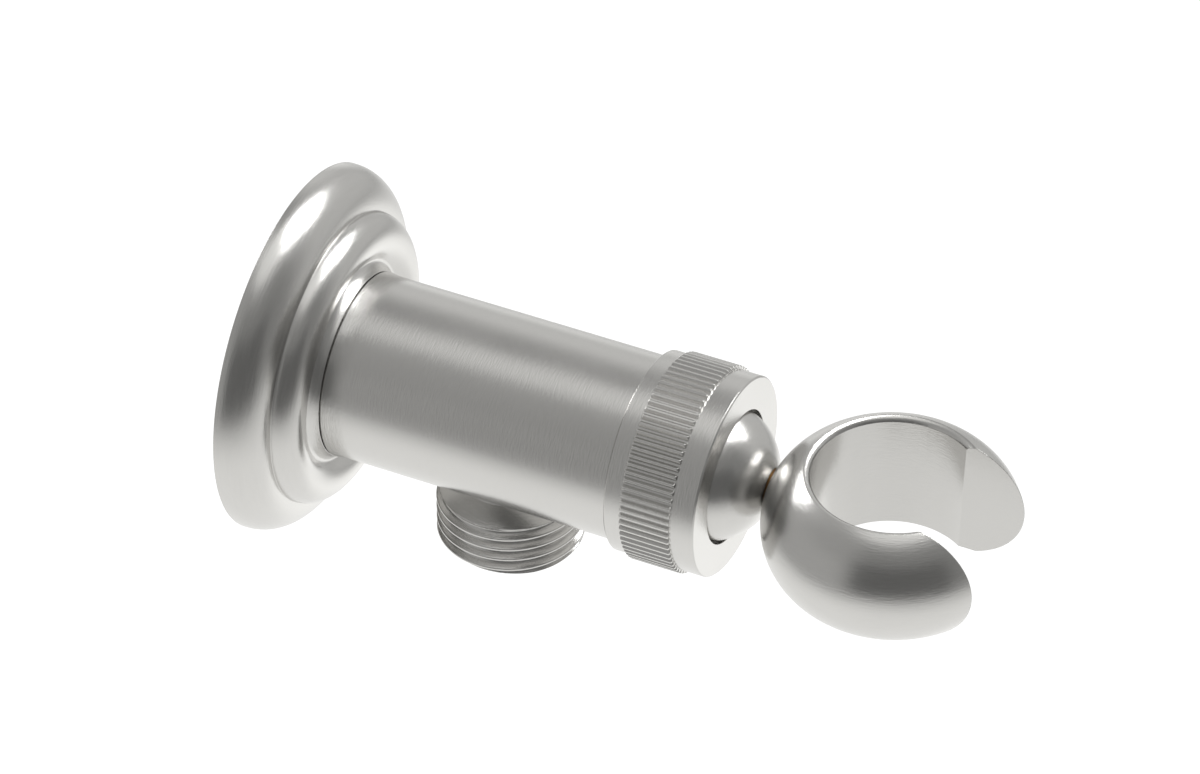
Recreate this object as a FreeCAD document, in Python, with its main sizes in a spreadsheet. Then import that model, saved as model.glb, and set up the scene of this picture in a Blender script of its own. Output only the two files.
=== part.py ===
import FreeCAD
import Part
import Sketcher
import math
import os

# Hand shower holder with a wall outlet: a flange and a tubular body on the wall, a threaded
# outlet for the hose underneath, and a ball joint with a knurled nut that carries the cradle.
#
# Millimetres. The wall is the plane y = 0, the body runs along -Y, and Z points up.
# Distances named "front", "rear" or "centre" are measured forward from the wall.
# Every turned piece is drawn as a half section: x is the radius, y the height along its axis.

SHEET = "Sizes"

VALUES = {
    # Layout along the body
    "flange_front": 9.4,
    "seam_gap": 0.3,
    "body_front": 52.35,
    "outlet_setback": 20.09,
    "ball_setting": 9.58,
    # Fits shared by the pieces
    "sliding_fit": 0.05,
    "turning_fit": 0.1,
    "loose_fit": 0.3,
    "seal_wire": 1.78,
    "seal_seating": 0.02,
    # Wall flange. A roundness is the rise of an arc over its chord.
    "flange_radius": 26.28,
    "rim_height": 0.6,
    "bead_width": 4.48,
    "bead_roundness": 0.1726,
    "crease_inset": 5.33,
    "crease_height": 5.6,
    "crease_slope": 0.26,
    "collar_roundness": 0.4192,
    "cove_width": 1.216,
    "cove_drop": 1.946,
    "cove_roundness": 0.3772,
    "hub_step": 0.23,
    "hub_length": 1.656,
    "collar_rear": 2.4,
    "collar_wall": 3.3,
    "collar_roof": 0.8,
    "collar_roof_inset": 2.55,
    "bead_roof": 1.7,
    "bead_roof_inset": 1.35,
    "bead_wall": 3.68,
    "ledge_height": 0.7,
    "flange_seal_rear": 3.8,
    "seal_groove_width": 2.4,
    "rim_wall": 1.08,
    "gasket_ledge": 1.0,
    "gasket_width": 2.6,
    "gasket_thickness": 1.5,
    # Body
    "body_radius": 13.07,
    "rear_step": 0.97,
    "flare_rise": 0.21,
    "flare_length": 3.9,
    "flare_curve": 34.0,
    "inlet_minor_radius": 9.316,
    "inlet_depth": 14.0,
    "passage_radius": 6.0,
    "passage_overrun": 6.24,
    "front_step": 0.77,
    "front_spigot_wall": 1.7,
    "front_spigot_gap": 1.1,
    # Outlet nipple, heights measured down from the axis of the body
    "nipple_sink": 6.07,
    "nipple_drop": 0.33,
    "nipple_thread_length": 7.87,
    "nipple_radius": 10.4775,
    "flank_slope": 0.5774,
    "nipple_neck_radius": 7.2,
    "nipple_throat_radius": 4.4,
    "nipple_chamfer": 0.3,
    "nipple_seal_start": 0.9,
    "nipple_seal_width": 2.2,
    "valve_bore_radius": 7.55,
    "valve_recess": 0.87,
    # Check valve, heights measured down from its own top
    "valve_length": 9.7,
    "valve_step_height": 1.9,
    "valve_step": 1.5,
    "valve_seat_height": 1.3,
    "valve_chamber_radius": 4.9,
    "valve_seal_wire": 1.5,
    "valve_groove_start": 3.0,
    "valve_groove_width": 2.0,
    "guide_ledge": 0.25,
    "guide_setback": 3.2,
    "guide_thickness": 2.0,
    "guide_hole_radius": 0.95,
    "guide_hole_inset": 1.55,
    "guide_hole_count": 6,
    "poppet_gap": 0.7,
    "poppet_thickness": 0.9,
    "poppet_hub_radius": 2.15,
    "poppet_hub_height": 1.25,
    "seat_overlap": 0.8,
    "seal_thickness": 0.8,
    "stem_radius": 0.9,
    "stem_reach": 1.9,
    "spring_wire": 0.5,
    "spring_room": 0.75,
    "spring_turns": 2,
    # Ball joint
    "ball_gap": 0.75,
    "ball_rear_flat_radius": 2.5,
    "ball_flat_depth": 0.48,
    "rear_seat_wall": 1.88,
    "rear_seat_setback": 4.33,
    "rear_seat_hole_radius": 3.0,
    "disc_clearance": 0.4,
    "disc_hole_radius": 5.2,
    "disc_thickness": 0.85,
    "disc_rise": 1.0,
    "front_seat_setback": 0.33,
    "front_seat_reach": 2.92,
    # Knurled nut
    "nut_wall": 1.6,
    "nut_edge": 0.2,
    "nut_hole_inset": 0.3,
    "nut_lip_flare": 0.65,
    "nut_lip_thickness": 1.05,
    "nut_lip_land": 0.45,
    "knurl_setback": 2.55,
    "knurl_width": 7.3,
    "knurl_height": 0.5,
    "knurl_end": 0.15,
    "knurl_teeth": 80,
    "knurl_land": 0.2745,
    "knurl_root": 0.2745,
    # Stud, washer and snap ring between the ball and the cradle
    "stud_radius": 2.3,
    "stud_length": 5.0,
    "washer_rim": 0.4,
    "washer_thickness": 0.2,
    "ring_wire": 0.66,
    "ring_setting": 3.4,
    "ring_groove_depth": 0.3,
    "ring_groove_width": 0.74,
    "ring_sweep": 330,
    # Cradle, heights measured up from its underside
    "cradle_drop": 9.1,
    "cradle_height": 18.15,
    "cradle_bore_radius": 11.04,
    "cradle_taper": 0.31,
    "cradle_bulge": 5.453,
    "base_rim_width": 1.56,
    "top_rim_width": 0.9,
    "top_rim_slope": 0.63,
    "top_rim_bulge": 0.17,
    "slot_width": 18.6,
    "slot_overrun": 2.122,
    "spot_face_radius": 5.0,
    "spot_face_depth": 0.328,
    "ring_room": 0.6,
    "cradle_groove_width": 1.36,
}


class Size:
    """A formula over the sheet's values, kept together with the number it gives now."""

    def __init__(self, text, number):
        self.text = text
        self.number = number

    def __add__(self, other):
        other = as_size(other)
        return Size(f"({self.text} + {other.text})", self.number + other.number)

    def __sub__(self, other):
        other = as_size(other)
        return Size(f"({self.text} - {other.text})", self.number - other.number)

    def __mul__(self, other):
        other = as_size(other)
        return Size(f"({self.text} * {other.text})", self.number * other.number)

    def __truediv__(self, other):
        other = as_size(other)
        return Size(f"({self.text} / {other.text})", self.number / other.number)

    def __neg__(self):
        return Size(f"(-1 * {self.text})", -self.number)


class Table:
    """Gives each named value of the sheet as a Size."""

    def __getattr__(self, name):
        return Size(f"{SHEET}.{name}", float(VALUES[name]))


def as_size(value):
    if isinstance(value, Size):
        return value
    return Size(str(value), float(value))


def root_of_difference(longer, shorter):
    """The leg of a right triangle from its long side and its other leg."""
    text = f"sqrt({longer.text} * {longer.text} - {shorter.text} * {shorter.text})"
    return Size(text, math.sqrt(longer.number**2 - shorter.number**2))


def chord_between(first, last):
    """The straight distance between two points of an outline."""
    across = as_size(last[0]) - first[0]
    along = as_size(last[1]) - first[1]
    text = f"sqrt({across.text} * {across.text} + {along.text} * {along.text})"
    return Size(text, math.hypot(across.number, along.number))


def arc_radius(chord, rise):
    """The radius of an arc from its chord and its rise above the chord."""
    return chord * chord / (rise * 8) + rise / 2


size = Table()
doc = FreeCAD.newDocument("hand_shower_holder")
sheet = doc.addObject("Spreadsheet::Sheet", SHEET)
for row, (name, value) in enumerate(VALUES.items(), start=1):
    sheet.set(f"A{row}", name)
    sheet.set(f"B{row}", str(value))
    sheet.setAlias(f"B{row}", name)
doc.recompute()

FORWARD = FreeCAD.Rotation(FreeCAD.Vector(1, 0, 0), 90)
DOWNWARD = FreeCAD.Rotation(FreeCAD.Vector(1, 0, 0), 180)
UPRIGHT = FreeCAD.Rotation()

# Places along the body, forward from the wall
body_rear = size.flange_front + size.seam_gap
outlet_centre = size.body_front - size.outlet_setback
nut_rear = size.body_front + size.seam_gap
ball_centre = size.body_front + size.ball_setting
front_seat_rear = ball_centre - size.front_seat_setback
front_seat_front = ball_centre + size.front_seat_reach
front_spigot_front = front_seat_rear - size.front_spigot_gap
nut_lip_rear = front_seat_front + size.sliding_fit
nut_front = nut_lip_rear + size.nut_lip_thickness

# Radii that follow the outside of the body, from the wall to the ball
rear_spigot_radius = size.body_radius - size.rear_step
hub_radius = size.body_radius + size.hub_step
front_spigot_radius = size.body_radius - size.front_step
cavity_radius = front_spigot_radius - size.front_spigot_wall
ball_radius = cavity_radius - size.ball_gap
nut_bore_radius = front_spigot_radius + size.loose_fit
nut_radius = nut_bore_radius + size.nut_wall

# Rear of the joint, worked back from the ball
rear_seat_front = ball_centre - size.rear_seat_setback
rear_seat_rear = ball_centre - ball_radius - size.rear_seat_wall
disc_height = size.disc_rise + size.disc_thickness
cavity_floor = rear_seat_rear - size.turning_fit - disc_height * 2

# Front of the joint, worked forward from the ball to the bore of the cradle
ball_front_flat = ball_centre + ball_radius - size.ball_flat_depth
spot_face_front = ball_front_flat + size.washer_thickness + size.sliding_fit
cradle_base_radius = size.cradle_bore_radius + size.base_rim_width
cradle_mouth_radius = size.cradle_bore_radius + size.cradle_taper
cradle_rim_radius = cradle_mouth_radius + size.top_rim_width
cradle_outer_radius = (cradle_base_radius + cradle_rim_radius) / 2 + size.cradle_bulge
spot_face = cradle_outer_radius - size.spot_face_depth
cradle_centre = spot_face_front + spot_face

bodies = []


def new_body(name, rotation, forward=0, height=0):
    """A body whose own z axis is turned to the given direction, its origin bound to sizes."""
    body = doc.addObject("PartDesign::Body", name)
    body.Label = name
    body.Placement = FreeCAD.Placement(FreeCAD.Vector(0, 0, 0), rotation)
    body.setExpression("Placement.Base.y", (-as_size(forward)).text)
    body.setExpression("Placement.Base.z", as_size(height).text)
    bodies.append(body)
    return body


def new_sketch(body, plane, name, offset=None):
    """A sketch on one of the body's own planes, moved along the plane's normal by offset."""
    sketch = body.newObject("Sketcher::SketchObject", name)
    for feature in body.Origin.OriginFeatures:
        if feature.Role == plane:
            sketch.AttachmentSupport = [(feature, "")]
    sketch.MapMode = "FlatFace"
    if offset is not None:
        sketch.setExpression("AttachmentOffset.Base.z", offset.text)
    return sketch


def place_point(bound, geometry, position, point):
    """Ties one sketch point to its two coordinates."""
    for kind, axis, value in (("DistanceX", -2, point[0]), ("DistanceY", -1, point[1])):
        value = as_size(value)
        if value.number == 0:
            held = Sketcher.Constraint("PointOnObject", geometry, position, axis)
            bound.append((held, None))
        elif value.number > 0:
            held = Sketcher.Constraint(kind, -1, 1, geometry, position, value.number)
            bound.append((held, value))
        else:
            opposite = -value
            held = Sketcher.Constraint(kind, geometry, position, -1, 1, opposite.number)
            bound.append((held, opposite))


def apply_constraints(sketch, bound):
    sketch.addConstraint([held for held, _ in bound])
    for index, (_, value) in enumerate(bound):
        if value is not None:
            sketch.setExpression(f"Constraints[{index}]", value.text)


def draw_outline(sketch, points, arcs=None):
    """A closed outline. Arcs give, for the edge that leaves a point, its radius and the side
    of the travel on which its centre lies."""
    arcs = arcs or {}
    points = [(as_size(x), as_size(y)) for x, y in points]
    corners = [FreeCAD.Vector(x.number, y.number, 0) for x, y in points]
    edges = []
    starts = []
    for index, corner in enumerate(corners):
        target = corners[(index + 1) % len(corners)]
        if index not in arcs:
            edges.append(Part.LineSegment(corner, target))
            starts.append(1)
            continue
        radius, side = arcs[index]
        chord = target - corner
        rise = math.sqrt(radius.number**2 - (chord.Length / 2) ** 2) / chord.Length
        left = FreeCAD.Vector(-chord.y, chord.x, 0) * rise
        centre = (corner + target) * 0.5 + (left if side == "left" else left * -1)
        first, last = (corner, target) if side == "left" else (target, corner)
        angles = [math.atan2(p.y - centre.y, p.x - centre.x) for p in (first, last)]
        circle = Part.Circle(centre, FreeCAD.Vector(0, 0, 1), radius.number)
        edges.append(Part.ArcOfCircle(circle, angles[0], angles[1]))
        starts.append(1 if side == "left" else 2)
    sketch.addGeometry(edges, False)
    bound = []
    for index, point in enumerate(points):
        before = (index - 1) % len(points)
        joined = Sketcher.Constraint(
            "Coincident", before, 3 - starts[before], index, starts[index]
        )
        bound.append((joined, None))
        place_point(bound, index, starts[index], point)
    for index, (radius, _) in arcs.items():
        bound.append((Sketcher.Constraint("Radius", index, radius.number), radius))
    apply_constraints(sketch, bound)


def draw_circle(sketch, centre, radius):
    across, along = as_size(centre[0]), as_size(centre[1])
    middle = FreeCAD.Vector(across.number, along.number, 0)
    circle = Part.Circle(middle, FreeCAD.Vector(0, 0, 1), radius.number)
    sketch.addGeometry(circle, False)
    bound = [(Sketcher.Constraint("Radius", 0, radius.number), radius)]
    place_point(bound, 0, 3, (across, along))
    apply_constraints(sketch, bound)


def turn(body, name, sketch, angle=None):
    """Revolves a half section about the body's axis."""
    feature = body.newObject("PartDesign::Revolution", name)
    feature.Profile = sketch
    feature.ReferenceAxis = (sketch, ["V_Axis"])
    feature.Angle = 360
    if angle is not None:
        feature.setExpression("Angle", angle.text)
    sketch.Visibility = False
    return feature


def turned_outline(name, rotation, points, arcs=None, forward=0, height=0):
    body = new_body(name, rotation, forward, height)
    sketch = new_sketch(body, "XZ_Plane", name + "_section")
    draw_outline(sketch, points, arcs)
    turn(body, name + "_turned", sketch)
    return body


def turned_ring(name, rotation, mean_radius, along, wire, forward=0, height=0, angle=None):
    """A ring of round wire, closed or with an opening."""
    body = new_body(name, rotation, forward, height)
    sketch = new_sketch(body, "XZ_Plane", name + "_section")
    draw_circle(sketch, (mean_radius, along), wire / 2)
    turn(body, name + "_turned", sketch, angle)
    return body


def cut(body, name, sketch, depth=None, along_normal=True):
    """Cuts the sketched shape, through everything unless a depth is given."""
    feature = body.newObject("PartDesign::Pocket", name)
    feature.Profile = sketch
    feature.Reversed = along_normal
    if depth is None:
        feature.Type = "ThroughAll"
    else:
        feature.Type = "Length"
        feature.Length = depth.number
        feature.setExpression("Length", depth.text)
    sketch.Visibility = False
    return feature


def repeat(body, name, feature, count):
    """Repeats a cut around the body's axis."""
    pattern = body.newObject("PartDesign::PolarPattern", name)
    pattern.Originals = [feature]
    for axis in body.Origin.OriginFeatures:
        if axis.Role == "Z_Axis":
            pattern.Axis = (axis, [""])
    pattern.Angle = 360
    pattern.Occurrences = int(count.number)
    pattern.setExpression("Occurrences", count.text)
    body.Tip = pattern
    return pattern


# Wall flange: a hollow turned rosette of two beads and a cove, with a collar behind it that
# holds a sealing ring against the rear spigot of the body.
flange_bore = rear_spigot_radius + size.sliding_fit
flange_groove = rear_spigot_radius + size.seal_wire + size.seal_seating
flange_groove_top = size.flange_seal_rear + size.seal_groove_width
collar_outer_radius = rear_spigot_radius + size.collar_wall
crease_radius = size.flange_radius - size.crease_inset
collar_roof_height = size.crease_height + size.collar_roof
bead_roof_height = size.crease_height - size.bead_roof
gasket_outer_radius = size.flange_radius - size.rim_wall
gasket_step_radius = gasket_outer_radius - size.gasket_ledge
rim_edge = (size.flange_radius, size.rim_height)
bead_top = (size.flange_radius - size.bead_width, size.crease_height + size.crease_slope)
crease = (crease_radius, size.crease_height)
cove_edge = (hub_radius + size.cove_width, size.flange_front - size.cove_drop)
hub_base = (hub_radius, size.flange_front - size.hub_length)
hub_edge = (hub_radius, size.flange_front)
bead_chord = chord_between(rim_edge, bead_top)
collar_chord = chord_between(crease, cove_edge)
cove_chord = chord_between(cove_edge, hub_base)
turned_outline(
    "wall_flange",
    FORWARD,
    [
        (size.flange_radius, 0),
        rim_edge,
        bead_top,
        crease,
        cove_edge,
        hub_base,
        hub_edge,
        (flange_bore, size.flange_front),
        (flange_bore, flange_groove_top),
        (flange_groove, flange_groove_top),
        (flange_groove, size.flange_seal_rear),
        (flange_bore, size.flange_seal_rear),
        (flange_bore, size.collar_rear),
        (collar_outer_radius, size.collar_rear),
        (collar_outer_radius, collar_roof_height),
        (crease_radius - size.collar_roof_inset, collar_roof_height),
        (crease_radius - size.bead_roof_inset, bead_roof_height),
        (size.flange_radius - size.bead_wall, bead_roof_height),
        (gasket_step_radius, size.gasket_thickness + size.ledge_height),
        (gasket_step_radius, size.gasket_thickness),
        (gasket_outer_radius, size.gasket_thickness),
        (gasket_outer_radius, 0),
    ],
    {
        1: (arc_radius(bead_chord, bead_chord * size.bead_roundness), "left"),
        3: (arc_radius(collar_chord, collar_chord * size.collar_roundness), "left"),
        4: (arc_radius(cove_chord, cove_chord * size.cove_roundness), "right"),
    },
)

gasket_edge = gasket_outer_radius - size.sliding_fit
gasket_inner_radius = gasket_outer_radius - size.gasket_width
turned_outline(
    "wall_gasket",
    FORWARD,
    [
        (gasket_inner_radius, 0),
        (gasket_edge, 0),
        (gasket_edge, size.gasket_thickness),
        (gasket_inner_radius, size.gasket_thickness),
    ],
)

flange_seal_middle = size.flange_seal_rear + size.seal_groove_width / 2
turned_ring(
    "flange_o_ring",
    FORWARD,
    rear_spigot_radius + size.seal_wire / 2,
    flange_seal_middle,
    size.seal_wire,
)

# Body: female inlet thread at the wall, water passage, blind cavity in front for the joint.
flare_radius = size.body_radius + size.flare_rise
passage_end = outlet_centre + size.passage_overrun
nipple_top = size.body_radius - size.nipple_sink
nipple_thread_start = size.body_radius + size.nipple_drop
nipple_flank_rise = (size.nipple_radius - size.nipple_neck_radius) * size.flank_slope
nipple_flank_top = nipple_thread_start - nipple_flank_rise
holder = turned_outline(
    "holder_body",
    FORWARD,
    [
        (0, passage_end),
        (size.passage_radius, passage_end),
        (size.passage_radius, size.inlet_depth),
        (size.inlet_minor_radius, size.inlet_depth),
        (size.inlet_minor_radius, 0),
        (rear_spigot_radius, 0),
        (rear_spigot_radius, body_rear),
        (flare_radius, body_rear),
        (size.body_radius, body_rear + size.flare_length),
        (size.body_radius, size.body_front),
        (front_spigot_radius, size.body_front),
        (front_spigot_radius, front_spigot_front),
        (cavity_radius, front_spigot_front),
        (cavity_radius, cavity_floor),
        (0, cavity_floor),
    ],
    {7: (size.flare_curve, "right")},
)
sketch = new_sketch(holder, "XZ_Plane", "outlet_throat_circle")
draw_circle(sketch, (0, outlet_centre), size.nipple_throat_radius)
cut(holder, "outlet_throat", sketch)
socket_radius = size.nipple_neck_radius + size.sliding_fit
sketch = new_sketch(holder, "XY_Plane", "outlet_socket_outline", outlet_centre)
draw_outline(
    sketch,
    [
        (0, -nipple_top),
        (0, -nipple_thread_start),
        (size.nipple_radius, -nipple_thread_start),
        (size.nipple_radius, size.sliding_fit - nipple_thread_start),
        (socket_radius, size.sliding_fit - nipple_flank_top),
        (socket_radius, -nipple_top),
    ],
)
socket = holder.newObject("PartDesign::Groove", "outlet_socket")
socket.Profile = sketch
socket.ReferenceAxis = (sketch, ["V_Axis"])
socket.Angle = 360
sketch.Visibility = False

# Outlet nipple: its neck is fixed in the body's socket and its bore from below holds the check
# valve. The band below its sloping shoulder has the crest radius of the hose thread.
seal_start = size.nipple_seal_start
seal_stop = seal_start + size.nipple_seal_width
nipple_groove = size.nipple_neck_radius + size.sliding_fit - size.seal_wire
nipple_end = nipple_thread_start + size.nipple_thread_length
nipple_length = nipple_end - nipple_top
valve_step_radius = size.valve_bore_radius - size.valve_step
valve_bore_top = nipple_end - size.valve_recess - size.valve_length
throat_length = valve_bore_top - nipple_top
ledge_length = throat_length + size.valve_step_height
turned_outline(
    "outlet_nipple",
    DOWNWARD,
    [
        (size.nipple_throat_radius, 0),
        (size.nipple_neck_radius, 0),
        (size.nipple_neck_radius, seal_start),
        (nipple_groove, seal_start),
        (nipple_groove, seal_stop),
        (size.nipple_neck_radius, seal_stop),
        (size.nipple_neck_radius, nipple_flank_top - nipple_top),
        (size.nipple_radius, nipple_thread_start - nipple_top),
        (size.nipple_radius, nipple_length - size.nipple_chamfer),
        (size.nipple_radius - size.nipple_chamfer, nipple_length),
        (size.valve_bore_radius, nipple_length),
        (size.valve_bore_radius, ledge_length),
        (valve_step_radius, ledge_length),
        (valve_step_radius, throat_length),
        (size.nipple_throat_radius, throat_length),
    ],
    forward=outlet_centre,
    height=-nipple_top,
)
turned_ring(
    "nipple_o_ring",
    DOWNWARD,
    nipple_groove + size.seal_wire / 2,
    (seal_start + seal_stop) / 2,
    size.seal_wire,
    forward=outlet_centre,
    height=-nipple_top,
)

# Check valve in the nipple: the poppet closes upward on its seat and opens downward.
valve_outer = size.valve_bore_radius - size.sliding_fit
poppet_radius = size.valve_chamber_radius - size.poppet_gap
valve_groove = size.valve_bore_radius - size.valve_seal_wire
valve_groove_end = size.valve_groove_start + size.valve_groove_width
valve_seat_radius = poppet_radius - size.seat_overlap
guide_radius = size.valve_chamber_radius + size.guide_ledge
guide_bore = guide_radius + size.sliding_fit
guide_start = size.valve_length - size.guide_setback
turned_outline(
    "valve_housing",
    DOWNWARD,
    [
        (valve_seat_radius, 0),
        (valve_step_radius - size.sliding_fit, 0),
        (valve_step_radius - size.sliding_fit, size.valve_step_height),
        (valve_outer, size.valve_step_height),
        (valve_outer, size.valve_groove_start),
        (valve_groove, size.valve_groove_start),
        (valve_groove, valve_groove_end),
        (valve_outer, valve_groove_end),
        (valve_outer, size.valve_length),
        (guide_bore, size.valve_length),
        (guide_bore, guide_start),
        (size.valve_chamber_radius, guide_start),
        (size.valve_chamber_radius, size.valve_seat_height),
        (valve_seat_radius, size.valve_seat_height),
    ],
    forward=outlet_centre,
    height=-valve_bore_top,
)
turned_ring(
    "valve_o_ring",
    DOWNWARD,
    valve_groove + size.valve_seal_wire / 2,
    size.valve_groove_start + size.valve_groove_width / 2,
    size.valve_seal_wire,
    forward=outlet_centre,
    height=-valve_bore_top,
)
seal_face = size.valve_seat_height + size.sliding_fit
poppet_face = seal_face + size.seal_thickness
poppet_hub_top = poppet_face - size.poppet_hub_height
poppet_back = poppet_face + size.poppet_thickness
stem_end = guide_start + size.stem_reach
turned_outline(
    "valve_poppet",
    DOWNWARD,
    [
        (0, poppet_hub_top),
        (size.poppet_hub_radius, poppet_hub_top),
        (size.poppet_hub_radius, poppet_face),
        (poppet_radius, poppet_face),
        (poppet_radius, poppet_back),
        (size.stem_radius, poppet_back),
        (size.stem_radius, stem_end),
        (0, stem_end),
    ],
    forward=outlet_centre,
    height=-valve_bore_top,
)
turned_outline(
    "valve_seal",
    DOWNWARD,
    [
        (size.poppet_hub_radius, seal_face),
        (poppet_radius, seal_face),
        (poppet_radius, poppet_face),
        (size.poppet_hub_radius, poppet_face),
    ],
    forward=outlet_centre,
    height=-valve_bore_top,
)
guide_end = guide_start + size.guide_thickness
guide_stem_hole = size.stem_radius + size.turning_fit
guide = turned_outline(
    "valve_guide",
    DOWNWARD,
    [
        (guide_stem_hole, guide_start),
        (guide_radius, guide_start),
        (guide_radius, guide_end),
        (guide_stem_hole, guide_end),
    ],
    forward=outlet_centre,
    height=-valve_bore_top,
)
sketch = new_sketch(guide, "XY_Plane", "guide_hole_circle")
draw_circle(sketch, (guide_radius - size.guide_hole_inset, 0), size.guide_hole_radius)
guide_hole = cut(guide, "guide_hole", sketch)
repeat(guide, "guide_holes", guide_hole, size.guide_hole_count)

# The spring's round wire is swept along a helix between the poppet and the guide.
spring_start = poppet_back + size.spring_wire / 2 + size.seal_seating
spring_rise = guide_start - poppet_back - size.spring_wire - size.seal_seating * 2
spring_mean_radius = size.stem_radius + size.spring_room + size.spring_wire / 2
spring = new_body("valve_spring", DOWNWARD, outlet_centre, -valve_bore_top)
sketch = new_sketch(spring, "XZ_Plane", "spring_wire_circle")
draw_circle(sketch, (spring_mean_radius, spring_start), size.spring_wire / 2)
coil = spring.newObject("PartDesign::AdditiveHelix", "spring_coil")
coil.Profile = sketch
coil.ReferenceAxis = (sketch, ["V_Axis"])
coil.Mode = "pitch-height-angle"
coil.Pitch = (spring_rise / size.spring_turns).number
coil.Height = spring_rise.number
coil.setExpression("Pitch", (spring_rise / size.spring_turns).text)
coil.setExpression("Height", spring_rise.text)
sketch.Visibility = False

# Ball joint: two conical springs press the rear seat on the ball, the nut and the front
# seat hold it from the front.
disc_outer_radius = cavity_radius - size.disc_clearance
turned_outline(
    "rear_disc_spring",
    FORWARD,
    [
        (disc_outer_radius, 0),
        (disc_outer_radius, size.disc_thickness),
        (size.disc_hole_radius, disc_height),
        (size.disc_hole_radius, size.disc_rise),
    ],
    forward=cavity_floor,
)
turned_outline(
    "front_disc_spring",
    FORWARD,
    [
        (disc_outer_radius, size.disc_rise),
        (disc_outer_radius, disc_height),
        (size.disc_hole_radius, size.disc_thickness),
        (size.disc_hole_radius, 0),
    ],
    forward=cavity_floor + disc_height,
)

seat_sphere = ball_radius + size.sliding_fit
rear_seat_radius = cavity_radius - size.loose_fit
rear_seat_depth = rear_seat_front - rear_seat_rear
rear_seat_mouth = root_of_difference(seat_sphere, ball_centre - rear_seat_front)
rear_seat_hollow = root_of_difference(seat_sphere, size.rear_seat_hole_radius)
turned_outline(
    "rear_ball_seat",
    FORWARD,
    [
        (size.rear_seat_hole_radius, 0),
        (rear_seat_radius, 0),
        (rear_seat_radius, rear_seat_depth),
        (rear_seat_mouth, rear_seat_depth),
        (size.rear_seat_hole_radius, ball_centre - rear_seat_rear - rear_seat_hollow),
    ],
    {3: (seat_sphere, "right")},
    forward=rear_seat_rear,
)

front_seat_rear_radius = root_of_difference(seat_sphere, ball_centre - front_seat_rear)
front_seat_front_radius = root_of_difference(seat_sphere, front_seat_front - ball_centre)
front_seat_depth = front_seat_front - front_seat_rear
front_seat_radius = nut_bore_radius - size.loose_fit
turned_outline(
    "front_ball_seat",
    FORWARD,
    [
        (front_seat_rear_radius, 0),
        (front_seat_radius, 0),
        (front_seat_radius, front_seat_depth),
        (front_seat_front_radius, front_seat_depth),
    ],
    {3: (seat_sphere, "right")},
    forward=front_seat_rear,
)

# Ball with its stud, drawn from the centre of the ball.
flat_height = ball_radius - size.ball_flat_depth
flat_radius = root_of_difference(ball_radius, flat_height)
rear_flat_height = root_of_difference(ball_radius, size.ball_rear_flat_radius)
ring_height = flat_height + size.ring_setting
ring_groove_radius = size.stud_radius - size.ring_groove_depth
stud_height = flat_height + size.stud_length
stud_groove_rear = ring_height - size.ring_groove_width / 2
stud_groove_front = ring_height + size.ring_groove_width / 2
turned_outline(
    "swivel_ball",
    FORWARD,
    [
        (0, -rear_flat_height),
        (size.ball_rear_flat_radius, -rear_flat_height),
        (flat_radius, flat_height),
        (size.stud_radius, flat_height),
        (size.stud_radius, stud_groove_rear),
        (ring_groove_radius, stud_groove_rear),
        (ring_groove_radius, stud_groove_front),
        (size.stud_radius, stud_groove_front),
        (size.stud_radius, stud_height),
        (0, stud_height),
    ],
    {1: (ball_radius, "left")},
    forward=ball_centre,
)
washer_bore = size.stud_radius + size.sliding_fit
washer_radius = washer_bore + size.washer_rim
turned_outline(
    "friction_washer",
    FORWARD,
    [
        (washer_bore, 0),
        (washer_radius, 0),
        (washer_radius, size.washer_thickness),
        (washer_bore, size.washer_thickness),
    ],
    forward=ball_front_flat,
)
ring_centre = ball_front_flat + size.ring_setting
turned_ring(
    "stud_snap_ring",
    FORWARD,
    ring_groove_radius + size.ring_wire / 2 + size.seal_seating,
    0,
    size.ring_wire,
    forward=ring_centre,
    angle=size.ring_sweep,
)

# Knurled nut: the toothed band stands proud of the plain bands on both sides.
nut_length = nut_front - nut_rear
nut_lip_height = nut_lip_rear - nut_rear
nut_hole_radius = ball_radius - size.nut_hole_inset
knurl_radius = nut_radius + size.knurl_height
knurl_stop = size.knurl_setback + size.knurl_width
nut = turned_outline(
    "knurled_nut",
    FORWARD,
    [
        (nut_bore_radius, 0),
        (nut_radius - size.nut_edge, 0),
        (nut_radius, size.nut_edge),
        (nut_radius, size.knurl_setback),
        (knurl_radius - size.knurl_end, size.knurl_setback),
        (knurl_radius, size.knurl_setback + size.knurl_end),
        (knurl_radius, knurl_stop - size.knurl_end),
        (knurl_radius - size.knurl_end, knurl_stop),
        (nut_radius, knurl_stop),
        (nut_radius, nut_length - size.nut_edge),
        (nut_radius - size.nut_edge, nut_length),
        (nut_hole_radius, nut_length),
        (nut_hole_radius, nut_length - size.nut_lip_land),
        (nut_hole_radius + size.nut_lip_flare, nut_lip_height),
        (nut_bore_radius, nut_lip_height),
    ],
    forward=nut_rear,
)
knurl_pitch = Size("pi", math.pi) * knurl_radius * 2 / size.knurl_teeth
root_half_width = size.knurl_root / 2
flank_width = (knurl_pitch - size.knurl_land - size.knurl_root) / 2
notch_half_width = root_half_width + flank_width * 2
sketch = new_sketch(nut, "XY_Plane", "knurl_notch_outline", size.knurl_setback)
draw_outline(
    sketch,
    [
        (nut_radius, -root_half_width),
        (knurl_radius + size.knurl_height, -notch_half_width),
        (knurl_radius + size.knurl_height, notch_half_width),
        (nut_radius, root_half_width),
    ],
)
notch = cut(nut, "knurl_notch", sketch, size.knurl_width)
repeat(nut, "knurl_notches", notch, size.knurl_teeth)

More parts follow.
